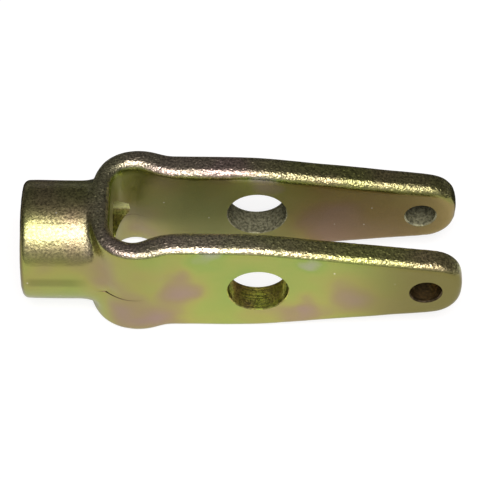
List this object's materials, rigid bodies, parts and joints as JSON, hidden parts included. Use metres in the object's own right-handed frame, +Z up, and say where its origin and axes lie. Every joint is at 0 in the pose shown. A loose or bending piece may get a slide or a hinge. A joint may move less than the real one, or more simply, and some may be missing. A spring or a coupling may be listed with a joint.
{
  "type": "clevis rod end",
  "caption": "Forged clevis rod end: a threaded socket opening into a forked yoke, with a clevis pin hole and a smaller link pin hole through its arms.",
  "frame": {"origin": "centre of the socket's end face, where the rod enters", "axes": "+X along the thread axis from the socket towards the arm tips, +Y across the arms along the pin axes, +Z up through the open faces of the slot"},
  "size_m": [0.0943, 0.0306, 0.0262],
  "materials": {
    "plated_forging": "yellow chromate over zinc plating on an as-forged steel skin"
  },
  "bodies": {
    "root": {"clevis": "plated_forging"}
  },
  "joints": []
}
